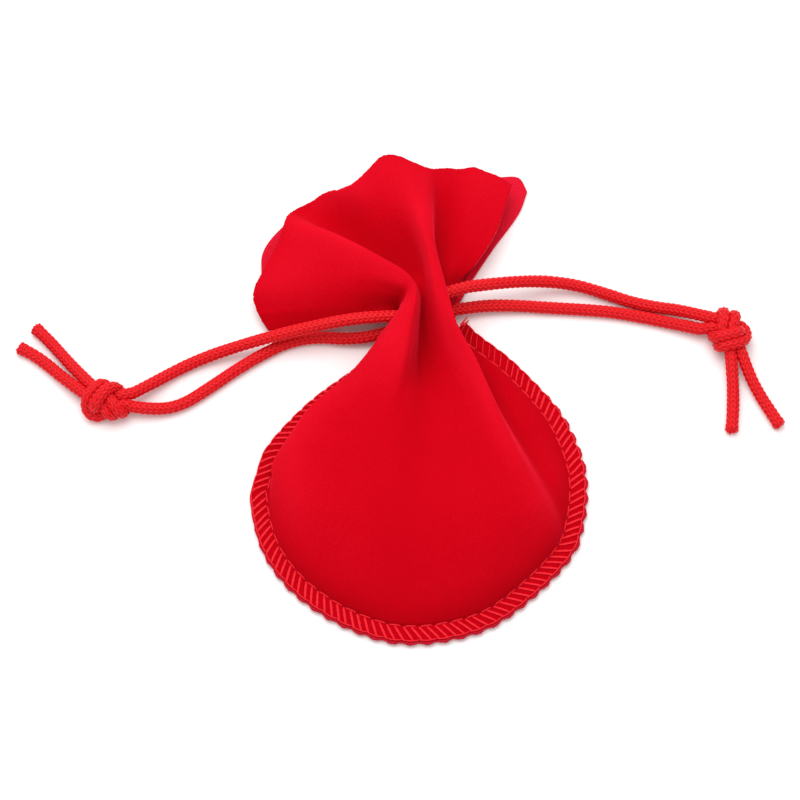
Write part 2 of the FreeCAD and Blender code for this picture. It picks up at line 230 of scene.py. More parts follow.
def velvet_material():
    """Short, dense pile. Its tone follows painted light and shade worked out from the cloth's
    shape, soft patches where the pile lies differently, and the grain of the pile."""
    material, tree, shader = new_material("red_velvet")
    where = place(tree)
    patches = node(tree, "ShaderNodeTexNoise", Scale=0.06, Detail=3.0, Roughness=0.55)
    pile = node(tree, "ShaderNodeTexNoise", Scale=3.2, Detail=4.0, Roughness=0.7)
    tree.links.new(where, patches.inputs["Vector"])
    tree.links.new(where, pile.inputs["Vector"])
    # painted light and shade from the cloth's shape, read from its vertices
    painted_shading = node(tree, "ShaderNodeAttribute", attribute_name="painted_shading")
    amounts = ((patches.outputs["Fac"], 0.12), (pile.outputs["Fac"], 0.45))
    total = painted_shading.outputs["Fac"]
    for noise, amount in amounts:
        add = node(tree, "ShaderNodeMath", operation="MULTIPLY_ADD")
        add.inputs[1].default_value = amount
        tree.links.new(noise, add.inputs[0])
        tree.links.new(total, add.inputs[2])
        total = add.outputs["Value"]
    # the ramp's dark end is painted shade and its light end painted highlight; the patches and pile add
    # the velvet's own uneven tone
    colour = colour_ramp(tree, total, [
        (0.18, (0.26, 0.0003, 0.002)), (0.68, (0.52, 0.0008, 0.0065)), (1.0, (0.70, 0.005, 0.018))])
    tree.links.new(colour, shader.inputs["Base Color"])
    shader.inputs["Roughness"].default_value = 0.95
    shader.inputs["Specular IOR Level"].default_value = 0.012
    shader.inputs["Sheen Weight"].default_value = 1.0
    shader.inputs["Sheen Roughness"].default_value = 0.4
    shader.inputs["Sheen Tint"].default_value = (1.0, 0.02, 0.06, 1)
    normal = bump(tree, pile.outputs["Fac"], 0.25, 0.0002)
    tree.links.new(normal, shader.inputs["Normal"])
    return material


def backing_material():
    """Knitted back of the velvet: fine slanted ribs, pinker and duller than the pile."""
    material, tree, shader = new_material("velvet_backing")
    where = place(tree)
    turn = node(tree, "ShaderNodeMapping")
    turn.inputs["Rotation"].default_value = (0, 0, 0.9)
    tree.links.new(where, turn.inputs["Vector"])
    ribs = node(tree, "ShaderNodeTexWave", Scale=0.8, Distortion=1.6, Detail=3.0)
    loops = node(tree, "ShaderNodeTexVoronoi", Scale=2.6)
    tree.links.new(turn.outputs["Vector"], ribs.inputs["Vector"])
    tree.links.new(turn.outputs["Vector"], loops.inputs["Vector"])
    blend = node(tree, "ShaderNodeMath", operation="MULTIPLY_ADD")
    blend.inputs[1].default_value = 0.5
    tree.links.new(loops.outputs["Distance"], blend.inputs[0])
    tree.links.new(ribs.outputs["Fac"], blend.inputs[2])
    colour = colour_ramp(tree, blend.outputs["Value"], [
        (0.15, (0.56, 0.002, 0.012)), (0.55, (0.68, 0.004, 0.022)), (1.0, (0.80, 0.010, 0.038))])
    tree.links.new(colour, shader.inputs["Base Color"])
    shader.inputs["Roughness"].default_value = 0.85
    shader.inputs["Specular IOR Level"].default_value = 0.06
    shader.inputs["Sheen Weight"].default_value = 0.15
    shader.inputs["Sheen Tint"].default_value = (1.0, 0.2, 0.3, 1)
    tree.links.new(bump(tree, blend.outputs["Value"], 0.5, 0.0002), shader.inputs["Normal"])
    return material


def thread_material(name, dark, bright, roughness, plaited=False):
    """Spun or filament yarn with fine fibres along it; a plait gets painted shade in its grooves."""
    material, tree, shader = new_material(name)
    where = place(tree)
    fibres = node(tree, "ShaderNodeTexNoise", Scale=4.5, Detail=5.0, Roughness=0.75)
    tree.links.new(where, fibres.inputs["Vector"])
    colour = colour_ramp(tree, fibres.outputs["Fac"], [(0.35, dark), (0.7, bright)])
    if plaited:
        # painted shade: the plait's grooves darken the yarn's colour, the tops of its legs keep it
        depth = node(tree, "ShaderNodeAttribute", attribute_name="plait")
        shade = colour_ramp(tree, depth.outputs["Fac"], [
            (0.0, (0.36, 0.04, 0.04)), (0.5, (0.72, 0.36, 0.36)), (0.86, (1, 1, 1))])
        mix = node(tree, "ShaderNodeMix", data_type="RGBA", blend_type="MULTIPLY")
        mix.inputs["Factor"].default_value = 1
        tree.links.new(colour, mix.inputs[6])
        tree.links.new(shade, mix.inputs[7])
        colour = mix.outputs[2]
    tree.links.new(colour, shader.inputs["Base Color"])
    shader.inputs["Roughness"].default_value = roughness
    shader.inputs["Specular IOR Level"].default_value = 0.14
    shader.inputs["Sheen Weight"].default_value = 0.1
    shader.inputs["Sheen Roughness"].default_value = 0.4
    shader.inputs["Sheen Tint"].default_value = (1.0, 0.25, 0.3, 1)
    tree.links.new(bump(tree, fibres.outputs["Fac"], 0.35, 0.0001), shader.inputs["Normal"])
    return material


VELVET = velvet_material()
BACKING = backing_material()
CORD_YARN = thread_material(
    "drawstring_yarn", (0.78, 0.005, 0.012), (0.96, 0.018, 0.028), 0.42, plaited=True)
SEWING = thread_material("overlock_thread", (0.72, 0.006, 0.018), (0.90, 0.024, 0.040), 0.6)
# A darker copy of the seam's red thread: painted shade for the lower looper's lumps under the seam's edge.
SHADED_LOWER_LOOPER = thread_material("lower_looper_yarn_painted_shade", (0.42, 0.001, 0.014), (0.58, 0.004, 0.026), 0.6)


# ---------------------------------------------------------------- camera and cords

def add_camera():
    """Long lens, looking down at the pouch from the belly's side."""
    target = Vector(CAMERA_TARGET) * MM
    elevation = math.radians(CAMERA_ELEVATION)
    data = bpy.data.cameras.new("camera")
    data.sensor_width = 36
    data.lens = data.sensor_width * CAMERA_DISTANCE_M / FIELD_WIDTH_M
    data.clip_start = 0.05
    camera = bpy.data.objects.new("camera", data)
    back = Vector((0, -math.cos(elevation), math.sin(elevation)))
    camera.location = target + back * CAMERA_DISTANCE_M
    camera.rotation_euler = back.to_track_quat("Z", "Y").to_euler()
    bpy.context.scene.collection.objects.link(camera)
    bpy.context.scene.camera = camera


# Routes of the cords, from the neck to the knot, and of the cut tails. They follow the CAD
# routes; near the neck they dip under the pleats, and the tails end a little shorter.
REST = CORD / 2 + 0.05
ROUTES = {
    "left_upper_strand": [
        (-3.0, 38.6, 6.6), (-8.6, 38.0, 7.5), (-15.0, 37.3, 7.5), (-21.6, 36.4, 6.5),
        (-28.3, 35.3, 5.1), (-34.8, 34.0, 3.9), (-41.0, 32.5, 2.7), (-47.0, 30.7, 1.6),
        (-52.4, 28.0, 1.4), (-57.3, 24.6, 2.2), (-61.8, 21.4, 3.4)],
    "left_lower_strand": [
        (-3.0, 37.6, 3.2), (-8.6, 35.8, 2.6), (-15.2, 35.2, 2.0), (-21.9, 36.0, 1.4),
        (-28.3, 34.9, REST), (-34.2, 31.7, REST), (-39.7, 28.0, REST), (-45.3, 23.7, REST),
        (-51.0, 19.6, 1.35), (-56.6, 18.2, 1.9), (-61.8, 18.7, 2.6)],
    "right_upper_strand": [
        (3.0, 42.5, 7.6), (9.0, 44.6, 8.2), (15.2, 46.2, 6.8), (21.8, 47.7, 5.2),
        (28.2, 48.6, 3.6), (34.8, 48.4, 2.2), (41.0, 46.7, 1.5), (47.0, 44.5, REST),
        (52.4, 43.2, 1.5), (57.8, 42.0, 2.4), (63.0, 39.8, 3.9)],
    "right_lower_strand": [
        (3.0, 41.0, 3.0), (9.0, 42.3, 2.5), (15.2, 43.4, 2.1), (22.0, 43.6, 1.6),
        (28.8, 43.2, REST), (35.6, 42.8, REST), (42.4, 42.2, REST), (49.0, 41.0, REST),
        (55.6, 39.3, 1.5), (62.0, 37.4, 2.4)],
    "left_upper_tail": [
        (-70.2, 23.0, 3.4), (-74.2, 27.4, 2.4), (-78.0, 32.2, REST), (-81.2, 35.9, REST),
        (-83.6, 38.2, REST)],
    "left_lower_tail": [
        (-71.6, 21.4, 2.9), (-76.0, 25.0, 1.9), (-80.2, 29.0, REST), (-84.0, 32.0, REST),
        (-86.8, 33.4, REST)],
    "right_inner_tail": [
        (68.0, 31.6, 3.2), (68.3, 26.8, 2.1), (68.3, 21.6, REST), (68.0, 17.0, REST),
        (67.6, 13.6, REST)],
    "right_outer_tail": [
        (70.2, 32.0, 3.0), (71.9, 26.6, 1.9), (74.2, 21.8, REST), (76.4, 17.8, REST),
        (78.0, 14.9, REST)],
    "left_neck_loop": [
        (-3.0, 38.6, 6.6), (0.0, 39.2, 5.8), (3.0, 40.4, 5.4), (5.2, 41.0, 5.0),
        (5.6, 41.0, 3.8), (3.8, 40.0, 2.6), (0.5, 38.6, 2.8), (-3.0, 37.6, 3.2)],
    "right_neck_loop": [
        (3.0, 42.5, 7.6), (-0.5, 43.0, 5.8), (-3.2, 44.0, 5.0), (-5.0, 44.4, 4.2),
        (-4.8, 44.2, 3.2), (-2.6, 43.6, 2.9), (0.5, 42.2, 2.9), (3.0, 41.0, 3.0)],
}


def route_curve(name, points):
    """Smooth NURBS spline with the route's points as its control points."""
    data = bpy.data.curves.new(name, "CURVE")
    data.dimensions = "3D"
    data.resolution_u = 24
    spline = data.splines.new("NURBS")
    spline.points.add(len(points) - 1)
    for control, point in zip(spline.points, points):
        control.co = (point[0] * MM, point[1] * MM, point[2] * MM, 1)
    spline.order_u = 3
    spline.use_endpoint_u = True
    holder = bpy.data.objects.new(name + "_route", data)
    bpy.context.scene.collection.objects.link(holder)
    bpy.context.view_layer.update()
    line = bpy.data.meshes.new_from_object(holder)
    found = np.array([v.co for v in line.vertices], float) / MM
    bpy.data.objects.remove(holder)
    bpy.data.meshes.remove(line)
    bpy.data.curves.remove(data)
    return found


def evenly(points, step):
    """The same line with points an equal step apart."""
    points = np.asarray(points, float)
    lengths = np.r_[0, np.cumsum(np.linalg.norm(np.diff(points, axis=0), axis=1))]
    count = max(int(round(lengths[-1] / step)), 2)
    marks = np.linspace(0, lengths[-1], count + 1)
    return np.stack([np.interp(marks, lengths, points[:, k]) for k in range(3)], axis=1)


def line_length(points):
    return float(np.linalg.norm(np.diff(points, axis=0), axis=1).sum())


def transported(points, start_normal=(0, 0, 1)):
    """Tangents and a normal carried along the line without twist."""
    tangents = unit(np.gradient(points, axis=0))
    normals = np.zeros_like(points)
    normal = np.array(start_normal, float)
    for index, tangent in enumerate(tangents):
        normal = normal - tangent * normal.dot(tangent)
        normal /= np.linalg.norm(normal)
        normals[index] = normal
    return tangents, normals, np.cross(tangents, normals)


COLUMNS = 5           # columns of plait round a cord
PLAIT = 1.2           # length of one plait along a cord
AROUND = 8            # vertices across one column
RELIEF = 0.5          # depth of the plait
STEPS_PER_PLAIT = 10


def plait_height(along, column_place):
    """Knitted plait: every column is a row of Vs, each leg a small rounded leaf."""
    side = np.abs(column_place)
    turn = along / PLAIT - 0.95 * side
    across_leg = 2 * (turn - np.floor(turn)) - 1
    leg = np.sqrt(np.clip(1 - across_leg ** 2, 0, 1))
    taper = 1 - 0.75 * np.abs(2 * side - 1) ** 2.5
    return leg * taper


def braided(points, diameter, seed=0, flare=(0, 0), before=0.0):
    """Vertices, quads and plait depth of a braided cord along a line. flare is how much each end
    opens out; before is the length of the same cord that comes before this line."""
    step = PLAIT / STEPS_PER_PLAIT
    points = evenly(points, step)
    _, normals, sides = transported(points)
    ring = COLUMNS * AROUND
    angles = np.arange(ring) * 2 * math.pi / ring
    place_in = (np.arange(ring) % AROUND + 0.5) / AROUND * 2 - 1
    odd = (np.arange(ring) // AROUND % 2) * 0.5 * PLAIT
    along = np.arange(len(points)) * step
    noise = wave_noise(along, along * 0, 9.0, seed + 11)
    places = (along + before + 0.12 * noise)[:, None] + odd[None, :]
    height = plait_height(places, place_in[None, :])
    body = diameter / 2 - 0.72 * RELIEF
    radius = body * (1 + 0.02 * noise[:, None]) + RELIEF * height
    from_start = along[:, None]
    from_end = along[-1] - along[:, None]
    radius = radius * (1 + flare[0] * np.exp(-(from_start / 1.1) ** 2))
    radius = radius * (1 + flare[1] * np.exp(-(from_end / 1.1) ** 2))
    wheel = (normals[:, None] * np.cos(angles)[None, :, None]
             + sides[:, None] * np.sin(angles)[None, :, None])
    vertices = points[:, None] + wheel * radius[..., None]
    count = len(points)
    quads = grid_quads(count, ring, closed=True)
    vertices = np.concatenate([vertices.reshape(-1, 3), points[:1], points[-1:]])
    depth = np.r_[height.ravel(), 0.6, 0.6]
    start_centre = count * ring
    fans = []
    for j in range(0, ring, 2):
        fans.append([start_centre, (j + 2) % ring, j + 1, j])
        base = (count - 1) * ring
        fans.append([start_centre + 1, base + j, base + j + 1, base + (j + 2) % ring])
    return vertices, np.concatenate([quads, np.array(fans)]), depth


def yarn(points, width, flat=1.0, sides=8, seed=0):
    """Thread along a short line, closed at both ends; flat squashes it across the cloth."""
    points = np.asarray(points, float)
    _, normals, across = transported(points, (0.13, 0.21, 0.97))
    along = np.r_[0, np.cumsum(np.linalg.norm(np.diff(points, axis=0), axis=1))]
    angles = np.arange(sides) * 2 * math.pi / sides
    twist = along[:, None] * 2 * math.pi / 1.3
    size = width / 2 * (1 + 0.10 * np.cos(2 * angles[None, :] - twist + seed))
    ends = np.maximum(np.sin(np.linspace(0, math.pi, len(points))) ** 0.25, 0.15)
    size = size * ends[:, None]
    wheel = (normals[:, None] * np.cos(angles)[None, :, None] * flat
             + across[:, None] * np.sin(angles)[None, :, None])
    vertices = (points[:, None] + wheel * size[..., None]).reshape(-1, 3)
    quads = grid_quads(len(points), sides, closed=True)
    last = (len(points) - 1) * sides
    caps = []
    for j in range(1, sides - 1, 2):
        caps.append([0, (j + 2) % sides, j + 1, j])
        caps.append([last, last + j, last + j + 1, last + (j + 2) % sides])
    return vertices, np.concatenate([quads, np.array(caps)]), np.ones(len(vertices))


def frayed_end(line, seed, count=14):
    """Filaments that stand out of a cut end."""
    rng = np.random.default_rng(seed + 31)
    tangent = unit(line[-1] - line[-6])
    parts = []
    for _ in range(count):
        radial = rng.normal(0, 1, 3)
        radial = unit(radial - tangent * radial.dot(tangent))
        start = line[-1] - tangent * 0.5 + radial * rng.uniform(0.2, 0.95)
        reach = rng.uniform(0.7, 1.2)
        tip = start + tangent * reach + radial * rng.uniform(0.0, 0.25)
        middle = (start + tip) / 2 + rng.normal(0, 0.08, 3)
        parts.append(yarn(curve_through([start, middle, tip], 3), 0.34, sides=6))
    for vertices, _, _ in parts:
        vertices[:, 2] = np.maximum(vertices[:, 2], 0.05)
    return parts


def joined(parts):
    vertices = []
    quads = []
    depths = []
    offset = 0
    for part_vertices, part_quads, part_depth in parts:
        vertices.append(part_vertices)
        quads.append(part_quads + offset)
        depths.append(part_depth)
        offset += len(part_vertices)
    return np.concatenate(vertices), np.concatenate(quads), np.concatenate(depths)


def thread_piece(name, parts, material):
    """One piece out of threads or cords, each given as vertices, quads and plait depth."""
    vertices, quads, depths = joined(parts)
    piece = new_mesh(name, vertices, quads, material)
    attribute = piece.data.attributes.new("plait", "FLOAT", "POINT")
    attribute.data.foreach_set("value", depths.astype(np.float32))
    return piece


# Overhand knot tied in both cords at once, laid out round a centre on the table. Each
# cord comes in over its own last pass, dips, turns back as the band on top, goes round behind,
# turns again and leaves under the band as a tail.
KNOTS = {
    "left": {
        "centre": (-67.3, 19.7),
        "upper": [
            (3.3, 1.2, 3.8), (1.6, 0.5, 3.3), (0.2, -0.2, 2.0), (-1.0, -1.0, 1.35),
            (-1.9, -1.7, 1.8), (-2.0, -2.0, 3.6), (-1.3, -1.5, 5.2), (-0.7, -0.3, 6.1),
            (0.3, 1.2, 5.9), (1.6, 2.4, 4.6), (2.8, 2.6, 2.9), (3.4, 1.4, 1.5),
            (3.7, -0.4, 1.3), (3.9, -1.8, 1.5), (3.2, -2.6, 2.4), (2.0, -2.6, 3.2),
            (0.8, -1.8, 3.8), (-0.4, -0.6, 3.8), (-1.5, 0.9, 3.7), (-2.3, 2.2, 3.6)],
        "lower": [
            (3.6, -1.2, 3.3), (2.0, -1.3, 3.2), (0.6, -1.6, 2.0), (-0.9, -2.0, 1.3),
            (-2.3, -2.1, 1.5), (-3.4, -1.6, 2.7), (-3.6, -0.6, 4.3), (-3.1, 0.7, 5.3),
            (-2.2, 2.2, 5.1), (-1.3, 3.3, 3.9), (-0.2, 3.5, 2.3), (0.9, 2.5, 1.35),
            (1.4, 0.6, 1.3), (1.7, -1.2, 1.3), (1.7, -2.2, 1.6), (1.0, -2.5, 2.6),
            (0.0, -2.1, 3.4), (-1.2, -1.2, 3.8), (-2.4, 0.0, 3.7), (-3.5, 1.0, 3.2)]},
    "right": {
        "centre": (67.4, 36.4),
        "upper": [
            (-2.6, 2.9, 4.0), (-1.0, 2.7, 3.9), (0.6, 2.4, 3.0), (1.8, 1.9, 2.4),
            (2.8, 0.9, 2.6), (3.1, -0.7, 3.2), (2.8, -2.4, 4.2), (1.9, -3.7, 5.0),
            (0.7, -4.2, 5.0), (-0.5, -4.0, 4.0), (-1.2, -3.1, 2.4), (-1.1, -1.8, 1.4),
            (-0.6, 0.4, 1.3), (0.4, 2.2, 1.3), (1.6, 3.5, 1.9), (2.2, 3.6, 3.6),
            (2.0, 2.6, 5.1), (1.6, 1.1, 5.7), (1.5, -0.6, 4.8), (1.9, -2.2, 3.4),
            (2.6, -3.4, 3.0)],
        "lower": [
            (-3.6, 1.1, 3.0), (-2.0, 1.0, 3.8), (-0.4, 0.8, 3.0), (0.9, 0.4, 2.2),
            (1.7, -0.7, 2.6), (2.0, -1.7, 4.2), (1.1, -2.3, 5.6), (-0.4, -2.4, 6.0),
            (-1.8, -2.2, 5.4), (-2.8, -1.8, 4.0), (-3.3, -0.9, 2.5), (-2.9, 0.4, 1.4),
            (-2.2, 2.2, 1.3), (-1.5, 3.8, 1.6), (-0.9, 4.6, 2.8), (-0.6, 4.2, 4.5),
            (-0.5, 2.8, 5.6), (-0.4, 1.1, 5.8), (-0.2, -0.6, 4.8), (0.2, -2.2, 3.4),
            (0.8, -3.6, 3.2)]},
}
BEARING = 0.8 * CORD    # distance between cords that bear on each other in a knot
KNOT_STEP = 0.6         # distance between the points of a knot while it is drawn tight
KNOT_ROUNDS = 45
DRAWN_IN = 0.05         # share by which the cords shorten in the knot


def tied(knot, level, entry, leave):
    """One cord of a knot as it is laid out, between two fixed ends."""
    centre = np.array(knot["centre"] + (0.0,))
    passes = [centre + np.array(point) for point in knot[level]]
    return evenly(curve_through(list(entry) + passes + list(leave), 8), KNOT_STEP)


def draw_tight(chains, fixed=2):
    """Draws the laid-out knot tight: the cords shorten a little, keep clear of each other and
    resist sharp bends."""
    points = np.concatenate(chains)
    starts = np.cumsum([0] + [len(chain) for chain in chains])
    strand = np.concatenate([np.full(len(chain), k) for k, chain in enumerate(chains)])
    number = np.concatenate([np.arange(len(chain)) for chain in chains])
    held = np.zeros(len(points), bool)
    for k in range(len(chains)):
        held[starts[k]:starts[k] + fixed] = True
        held[starts[k + 1] - fixed:starts[k + 1]] = True
    same = strand[:, None] == strand[None, :]
    apart = np.abs(number[:, None] - number[None, :])
    for turn in range(KNOT_ROUNDS):
        length = KNOT_STEP * (1 - DRAWN_IN * turn / KNOT_ROUNDS)
        neighbour = int(math.ceil(BEARING * 1.3 / length))
        may_touch = ~(same & (apart < neighbour))
        for _ in range(3):
            for k in range(len(chains)):
                part = points[starts[k]:starts[k + 1]]
                free = ~held[starts[k]:starts[k + 1]]
                step = np.diff(part, axis=0)
                reach = np.linalg.norm(step, axis=1, keepdims=True)
                draw = step * (1 - length / np.maximum(reach, 1e-6)) * 0.5
                move = np.zeros_like(part)
                move[:-1] += draw
                move[1:] -= draw
                bend = np.zeros_like(part)
                bend[1:-1] = (part[:-2] + part[2:]) / 2 - part[1:-1]
                part[free] += (move * 0.9 + bend * 0.2)[free]
        for _ in range(3):
            between = points[:, None] - points[None, :]
            distance = np.sqrt((between ** 2).sum(-1)) + 1e-9
            close = may_touch & (distance < BEARING)
            push = np.where(close, (BEARING - distance) / distance * 0.5, 0)[..., None] * between
            count = np.maximum(close.sum(1, keepdims=True), 1)
            shift = push.sum(1) / count ** 0.6
            shift[held] = 0
            points += shift
        low = (points[:, 2] < REST) & ~held
        points[low, 2] = REST
    return [points[starts[k]:starts[k + 1]] for k in range(len(chains))]


def smoothed(points, rounds):
    points = points.copy()
    for _ in range(rounds):
        points[1:-1] = points[1:-1] * 0.5 + (points[:-2] + points[2:]) * 0.25
    return points


def add_drawstring(side, tails):
    """One drawstring: two free strands, the loop in the neck, and the knot with its tails."""
    body = side + "_drawstring"
    lines = {}
    for level in ("upper", "lower"):
        name = "%s_%s_strand" % (side, level)
        lines[level] = route_curve(name, ROUTES[name])
    tail_lines = [route_curve(name, ROUTES[name]) for name in tails]
    levels = ("upper", "lower")
    chains = []
    for level, tail in zip(levels, tail_lines):
        entry = evenly(lines[level], KNOT_STEP)[-2:]
        leave = evenly(tail, KNOT_STEP)[:2]
        chains.append(tied(KNOTS[side], level, entry, leave))
    chains = draw_tight(chains)
    parts = []
    for seed, (chain, tail, level) in enumerate(zip(chains, tail_lines, levels)):
        line = np.concatenate([smoothed(chain, 3), evenly(tail, KNOT_STEP)[2:]])
        line = curve_through(evenly(line, 1.0), 6)
        before = line_length(lines[level]) - KNOT_STEP
        parts.append(braided(line, CORD, seed, flare=(0, 0.12), before=before))
        parts.extend(frayed_end(line, seed))
    knot = thread_piece(side + "_knot_and_tails", parts, CORD_YARN)
    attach(knot, body)
    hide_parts(side + "_knot", *tails)
    # The strands and the loop stay put; the strands still cut into the cloth at the neck, which
    # has no real channel.
    for seed, level in enumerate(levels):
        name = "%s_%s_strand" % (side, level)
        line = lines[level]
        piece = thread_piece(name + "_braid", [braided(line, CORD, seed + 3)], CORD_YARN)
        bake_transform(piece)
        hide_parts(name)
    name = side + "_neck_loop"
    line = route_curve(name, ROUTES[name])
    loop = thread_piece(name + "_braid", [braided(line, CORD, 5)], CORD_YARN)
    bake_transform(loop)
    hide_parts(name)


add_camera()
add_drawstring("left", ("left_upper_tail", "left_lower_tail"))
add_drawstring("right", ("right_outer_tail", "right_inner_tail"))


# ---------------------------------------------------------------- front cloth

# The front cloth's fold lines, from left to right. Each runs from the mouth's edge over the
# neck to the middle of the belly. Stations: edge, outer flap, inner flap, above the neck, neck,
# below the neck, shoulder, upper belly, middle of the belly.
FRONT_FOLDS = [
    # raw left edge of the flap, then the left seam
    [(-32.5, 37.5, 1.6), (-24.5, 37.5, 2.4), (-15, 38.5, 4), (-7, 39.5, 5.5), (-4, 40.5, 5),
     (-2.5, 37.5, 3.6), (-9.8, 28, 3.6), (-21.6, 17.8, 3), (-30.3, 6.8, 2.1)],
    # bottom of the left lobe, then the belly's left flank
    [(-35.5, 42, 3), (-25.5, 40.5, 4), (-16, 40.5, 5.2), (-7, 41.5, 6.4), (-4, 41.5, 6.6),
     (-5.5, 37, 5.8), (-13.5, 26, 5), (-25, 15, 4.4), (-31, 4.5, 4.6)],
    [(-36, 46, 5), (-25.5, 45.5, 7.2), (-15, 44.5, 8.6), (-5.5, 43, 9.4), (-3, 42, 9.2),
     (-6, 36, 9), (-14, 25, 8), (-24, 15.5, 7.5), (-28.5, 1, 8)],
    # just before the lobe's ridge
    [(-30.5, 56, 7.2), (-20.5, 53, 10.2), (-10.5, 47.5, 11.5), (-3.8, 44, 12.2), (-2, 42.3, 11.8),
     (-4.6, 34.6, 11.8), (-9, 24.5, 11.3), (-16, 14.5, 10.9), (-24.5, -3.5, 10.6)],
    # ridge of the left lobe; it turns at the neck and becomes the belly's left pleat
    [(-29, 62, 8), (-18, 56.5, 11), (-8.5, 50, 12.5), (-2.5, 45.6, 13), (-0.5, 42.5, 12.7),
     (-1.7, 33.6, 12.5), (-3.4, 24.5, 12.2), (-6.5, 14.3, 12.5), (-17.5, -6, 12.3)],
    [(-27, 64.4, 6.8), (-17.4, 57.2, 7.6), (-7.9, 50.6, 8.8), (-2, 46.2, 9.4), (0.1, 43, 10),
     (-0.4, 34.5, 9.2), (-1.6, 25.3, 9.2), (-3, 15, 11.4), (-10, -7.5, 12.9)],
    # valley between the lobe and the middle pleat, then the belly's dark crease
    [(-21.5, 67.2, 9), (-14.6, 59.4, 5.2), (-6.4, 52.8, 5), (-1, 48.4, 7.2), (0.6, 44.5, 9),
     (0.6, 37, 6.4), (0.7, 26.8, 5.6), (1.8, 15.5, 9.0), (-1.5, -8.5, 12.5)],
    [(-14.6, 68.4, 11), (-8.5, 63, 8.2), (-2.8, 56.5, 7.2), (0.8, 49.5, 8.6), (1.4, 43, 9.2),
     (2.4, 35.5, 8), (5, 25.5, 8), (7.4, 15, 9.6), (6.5, -9, 12.4)],
    # crest of the middle pleat, then the slope up to the belly's right ridge
    [(-7, 77, 9.5), (-1.8, 67, 11.4), (0.8, 57.5, 12.6), (2.6, 48.5, 12.9), (4, 41, 12.6),
     (5.4, 34, 11), (8.8, 24.5, 10.6), (12, 14.5, 11.4), (15, -8, 12.5)],
    # its sharp right edge
    [(1.5, 74.5, 8.6), (2.4, 65.2, 10.8), (3.4, 54.7, 12.2), (5, 47, 12.4), (6.4, 41, 12.6),
     (8, 34.3, 12.9), (12.2, 25.3, 12.9), (16.5, 13.8, 12.9), (24.4, -4.4, 11.4)],
    # under that edge
    [(4.5, 75, 7.2), (4.2, 66.5, 7.4), (4, 56, 6.6), (5, 48, 6.6), (6.2, 42.5, 6.4),
     (8, 36, 5), (12.2, 26.5, 4.6), (18, 15.4, 6.2), (27, -0.6, 6.6)],
    # right lobe, then the flatter right side of the belly
    [(9, 75.5, 6.2), (7.5, 66, 5.6), (6.3, 56.6, 5.4), (6, 48.5, 6.2), (7, 43, 5.2),
     (8.6, 37, 3.6), (14.6, 27.5, 3.4), (21.8, 15.8, 4.8), (28.9, 2.6, 5)],
    [(14.5, 74.8, 6.6), (12, 63.8, 6), (9, 55, 5.8), (7, 48, 6.2), (7.5, 43, 4.6),
     (8.4, 37, 2.8), (17, 27.8, 3), (24.5, 16.5, 3.6), (30, 5.5, 3.4)],
    # raw right edge of the flap, then the right seam
    [(21, 71.5, 6), (17, 59.1, 6), (12.5, 51.8, 5.4), (9, 47.5, 4.4), (8.2, 43.5, 3.4),
     (8, 37.5, 2.2), (18.5, 27.5, 2), (27.5, 16.5, 1.8), (31.2, 8, SEAM_HEIGHT)],
]
# Where each fold line meets the needle line.
RIM = [
    (-32.5, -1.5), (-31.5, -7.5), (-29.5, -13.5), (-25, -20), (-18.5, -25.5), (-11, -29.5),
    (-4, -31.5), (5, -31), (15, -27.5), (29.5, -13.5), (31.3, -8.5), (32.1, -4), (32.4, 0),
    (32.2, 4)]
SEAM_STATION = 5      # the station of the fold lines where the seam begins
STEPS_DOWN = [22, 20, 16, 10, 14, 18, 16, 24]
BELLY_SHARES = (0.35, 0.65, 0.86, 1.0)
BELLY_STEPS = [9, 8, 7, 5]
STEPS_ACROSS = 16


def belly_fall(share):
    """Height of the lower belly over the seam: 1 at its middle, 0 at the needle line."""
    return (1 - share ** 1.9) ** 0.92


def front_net():
    lines = []
    for fold, (x, y) in zip(FRONT_FOLDS, RIM):
        line = [np.array(point, float) for point in fold]
        start = line[-1]
        end = np.array([x, y, SEAM_HEIGHT])
        for share in BELLY_SHARES:
            point = start + (end - start) * share
            point[2] = SEAM_HEIGHT + (start[2] - SEAM_HEIGHT) * belly_fall(share)
            line.append(point)
        lines.append(line)
    return np.array(lines).transpose(1, 0, 2)


def front_grid():
    """Rows run from the mouth's edge to the bottom of the belly, columns from left to right."""
    rows = through(front_net(), STEPS_DOWN + BELLY_STEPS)
    columns = rows.transpose(1, 0, 2)
    steps = [STEPS_ACROSS] * (columns.shape[0] - 1)
    return through(columns, steps).transpose(1, 0, 2)


def edge_distance(shape, first_row):
    """How many rows or columns a vertex is from the seam."""
    rows = np.arange(shape[0])[:, None]
    columns = np.arange(shape[1])[None, :]
    from_side = np.minimum(columns, shape[1] - 1 - columns)
    from_bottom = shape[0] - 1 - rows
    return np.where(rows >= first_row, np.minimum(from_side, from_bottom), 100)


def roughen(grid, seed, first_row):
    """Small unevenness of soft cloth, and fine gathers that fan out from the neck."""
    normals = grid_normals(grid)
    x, y = grid[..., 0], grid[..., 1]
    from_neck = neck_distance(grid)
    soft = 0.14 * wave_noise(x, y, 30.0, seed) + 0.03 * wave_noise(x, y, 9.0, seed + 1)
    across = np.linspace(0, 100, grid.shape[1])[None, :] + 0 * x
    gathers = wave_noise(across, from_neck * 0.06, 5.0, seed + 2)
    gathers = gathers * 0.03 * np.exp(-(from_neck / 16) ** 2)
    fade = np.clip(edge_distance(grid.shape[:2], first_row) / 10, 0, 1)
    moved = grid + normals * ((soft * np.clip(from_neck / 12, 0, 1) + gathers) * fade)[..., None]
    ragged = np.random.default_rng(seed).normal(0, 0.06, grid.shape[1])
    ragged += 0.28 * wave_noise(x[0], y[0], 7.0, seed + 3)
    for row, share in enumerate((1, 0.7, 0.4, 0.2)):
        moved[row] += unit(grid[0] - grid[2]) * (ragged * share)[:, None]
    return moved


